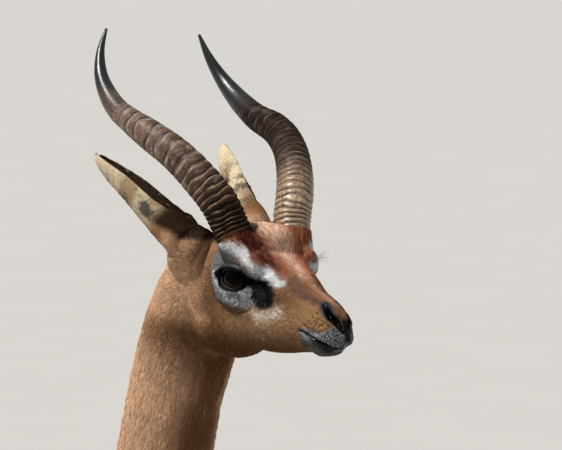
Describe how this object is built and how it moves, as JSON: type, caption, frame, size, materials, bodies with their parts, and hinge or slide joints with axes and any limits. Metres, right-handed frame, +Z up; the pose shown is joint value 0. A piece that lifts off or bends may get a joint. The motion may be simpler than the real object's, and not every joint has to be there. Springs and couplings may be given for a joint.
{
  "type": "gerenuk",
  "caption": "Life-size standing male gerenuk: long slim neck, narrow wedge head, ringed S-curved horns, leaf-shaped ears, thin legs and tufted tail.",
  "frame": {"origin": "centre of the bounding box's footprint, on the floor under the animal", "axes": "+X is forward, the way the animal faces; +Y is its left; +Z is up"},
  "size_m": [1.3632, 0.245, 1.6375],
  "materials": {
    "hide": "short matt coat",
    "horn": "satin",
    "eye": "wet gloss",
    "hoof": "satin"
  },
  "bodies": {
    "root": {"head": "hide", "neck": "hide", "torso": "hide", "tail": "hide", "leg_front_left": "hide", "leg_front_right": "hide", "leg_hind_left": "hide", "leg_hind_right": "hide", "ear_left": "hide", "ear_right": "hide", "horn_left": "horn", "horn_right": "horn", "eye_left": "eye", "eye_right": "eye", "hoof_front_left_outer": "hoof", "hoof_front_left_inner": "hoof", "hoof_front_right_outer": "hoof", "hoof_front_right_inner": "hoof", "hoof_hind_left_outer": "hoof", "hoof_hind_left_inner": "hoof", "hoof_hind_right_outer": "hoof", "hoof_hind_right_inner": "hoof"}
  },
  "joints": []
}
